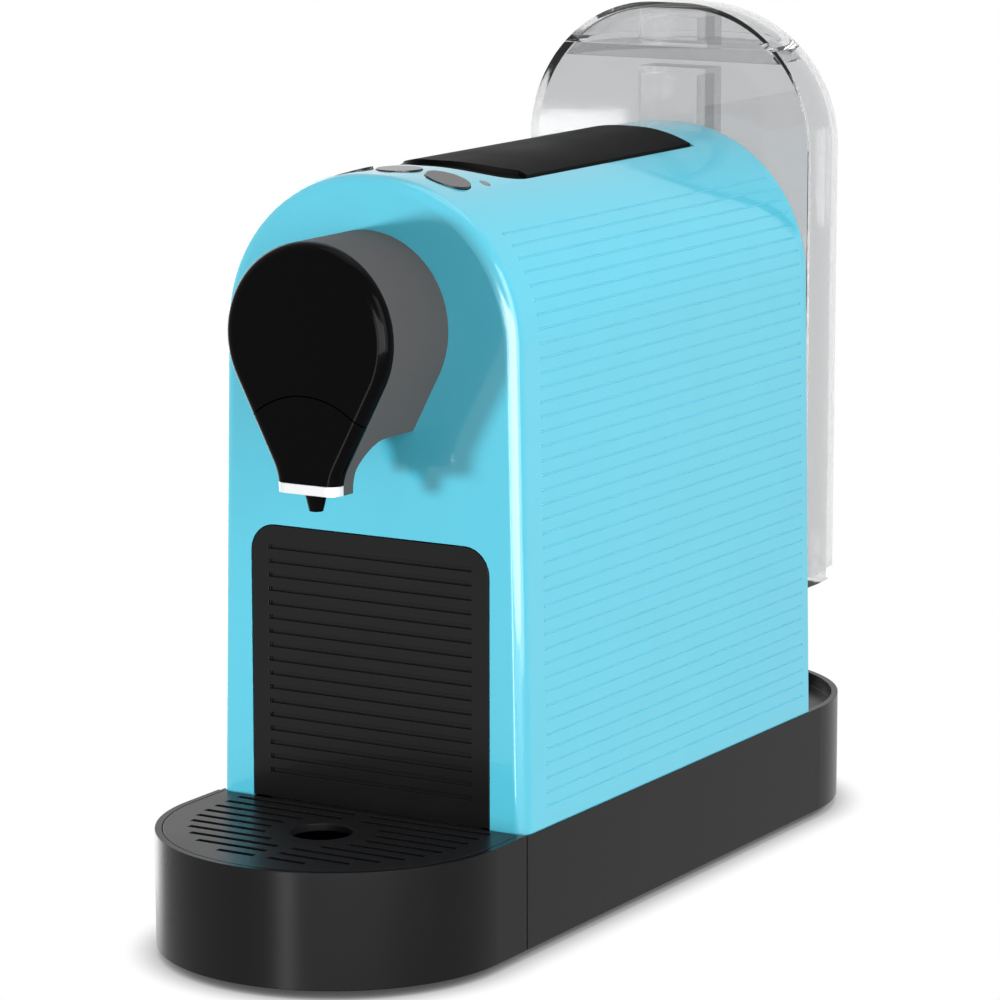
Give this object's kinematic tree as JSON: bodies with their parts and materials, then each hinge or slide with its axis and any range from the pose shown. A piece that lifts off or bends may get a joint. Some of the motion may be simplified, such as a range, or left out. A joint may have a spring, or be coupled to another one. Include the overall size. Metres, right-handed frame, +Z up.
{
  "type": "pod coffee machine",
  "caption": "Pod coffee machine with an arched grooved housing, round brew head, top lever, keys, drip tray with capsule bin and a clear lift-off water tank",
  "frame": {"origin": "on the floor, below the middle of the part's box, with the rubber feet standing on z = 0", "axes": "+Z up, +Y from the drip tray in front to the water tank behind, +X to the right of someone who faces the drip tray and looks along +Y"},
  "size_m": [0.1264, 0.3692, 0.31],
  "materials": {
    "plinth_black": "satin black moulded plastic",
    "plate_black": "matt black moulded plastic",
    "foot_rubber": "soft grey-black rubber",
    "screw_steel": "plain bright steel",
    "grille_black": "satin black plastic",
    "panel_black": "satin black ribbed plastic",
    "body_blue": "gloss turquoise plastic",
    "head_black": "gloss black plastic",
    "trim_silver": "bright plated trim",
    "lever_black": "gloss black plastic",
    "button_black": "gloss black plastic",
    "lens_clear": "clear moulded lens",
    "tank_clear": "clear moulded plastic",
    "valve_grey": "grey moulded plastic",
    "frame_grey": "glass-filled grey plastic",
    "board_green": "green lacquered board",
    "pump_steel": "plain steel case",
    "heater_cast": "bare cast block"
  },
  "bodies": {
    "machine": {"base_tub": "plinth_black", "cord_gland": "plinth_black", "bottom_plate": "plate_black", "tank_dock": "plate_black", "rear_panel": "plate_black", "capsule_chute": "plate_black", "pump_bracket": "plate_black", "switch_bracket": "plate_black", "rubber_feet": "foot_rubber", "dock_seal": "foot_rubber", "base_screws": "screw_steel", "guide_rods": "screw_steel", "hinge_pin": "screw_steel", "housing": "body_blue", "head_housing": "head_black", "head_cap": "head_black", "spout_cover": "head_black", "nozzle": "head_black", "spout_trim": "trim_silver", "indicator_lens": "lens_clear", "feed_sleeve": "valve_grey", "outlet_tube": "valve_grey", "inlet_pipe": "valve_grey", "flow_meter": "valve_grey", "brew_frame": "frame_grey", "rod_carrier": "frame_grey", "piercing_plate": "frame_grey", "power_board": "board_green", "switch_board": "board_green", "control_board": "board_green", "pump": "pump_steel", "thermoblock": "heater_cast"},
    "drip_tray_unit": {"drip_tray": "plinth_black", "capsule_bin": "plate_black", "bin_panel": "panel_black"},
    "grille": {"drip_grille": "grille_black"},
    "tank": {"water_tank": "tank_clear", "tank_valve": "valve_grey"},
    "poppet": {"valve_poppet": "valve_grey"},
    "lid": {"tank_lid": "tank_clear"},
    "lever": {"lever_cover": "lever_black", "lever_arms": "plate_black", "crank_pin": "screw_steel"},
    "cage": {"capsule_cage": "frame_grey", "cage_seal": "foot_rubber", "cross_pin": "screw_steel"},
    "links": {"link_bars": "screw_steel"},
    "key_left": {"button_left": "button_black"},
    "key_centre": {"button_centre": "button_black"},
    "key_right": {"button_right": "button_black"}
  },
  "joints": [
    {"name": "tray_slide", "type": "slide", "parent": "machine", "child": "drip_tray_unit", "axis": [0, -1, 0], "range_m": [0, 0.12]},
    {"name": "grille_lift", "type": "slide", "parent": "drip_tray_unit", "child": "grille", "axis": [0, 0, 1], "range_m": [0, 0.05]},
    {"name": "tank_lift", "type": "slide", "parent": "machine", "child": "tank", "axis": [0, 0, 1], "range_m": [0, 0.12]},
    {"name": "lid_lift", "type": "slide", "parent": "tank", "child": "lid", "axis": [0, 0, 1], "range_m": [0, 0.05]},
    {"name": "valve_lift", "type": "slide", "parent": "tank", "child": "poppet", "axis": [0, 0, 1], "range_m": [0, 0.003]},
    {"name": "lever_hinge", "type": "hinge", "parent": "machine", "child": "lever", "pos_m": [0, 0.0568, 0.2535], "axis": [-1, 0, 0], "range_deg": [0, 75]},
    {"name": "cage_slide", "type": "slide", "parent": "machine", "child": "cage", "axis": [0, 1, 0], "range_m": [0, 0.0236]},
    {"name": "link_pivot", "type": "hinge", "parent": "cage", "child": "links", "pos_m": [0, -0.0112, 0.2275], "axis": [1, 0, 0], "range_deg": [0, 29.2]},
    {"name": "key_left_press", "type": "slide", "parent": "machine", "child": "key_left", "axis": [0.2937, 0, -0.9559], "range_m": [0, 0.0012], "stiffness_N_per_m": 400},
    {"name": "key_centre_press", "type": "slide", "parent": "machine", "child": "key_centre", "axis": [0, 0, -1], "range_m": [0, 0.0012], "stiffness_N_per_m": 400},
    {"name": "key_right_press", "type": "slide", "parent": "machine", "child": "key_right", "axis": [-0.2937, 0, -0.9559], "range_m": [0, 0.0012], "stiffness_N_per_m": 400}
  ],
  "couplings": [
    {"joint": "cage_slide", "follows": "lever_hinge", "m_per_rad": 0.01799},
    {"joint": "link_pivot", "follows": "lever_hinge", "ratio": 0.388}
  ]
}
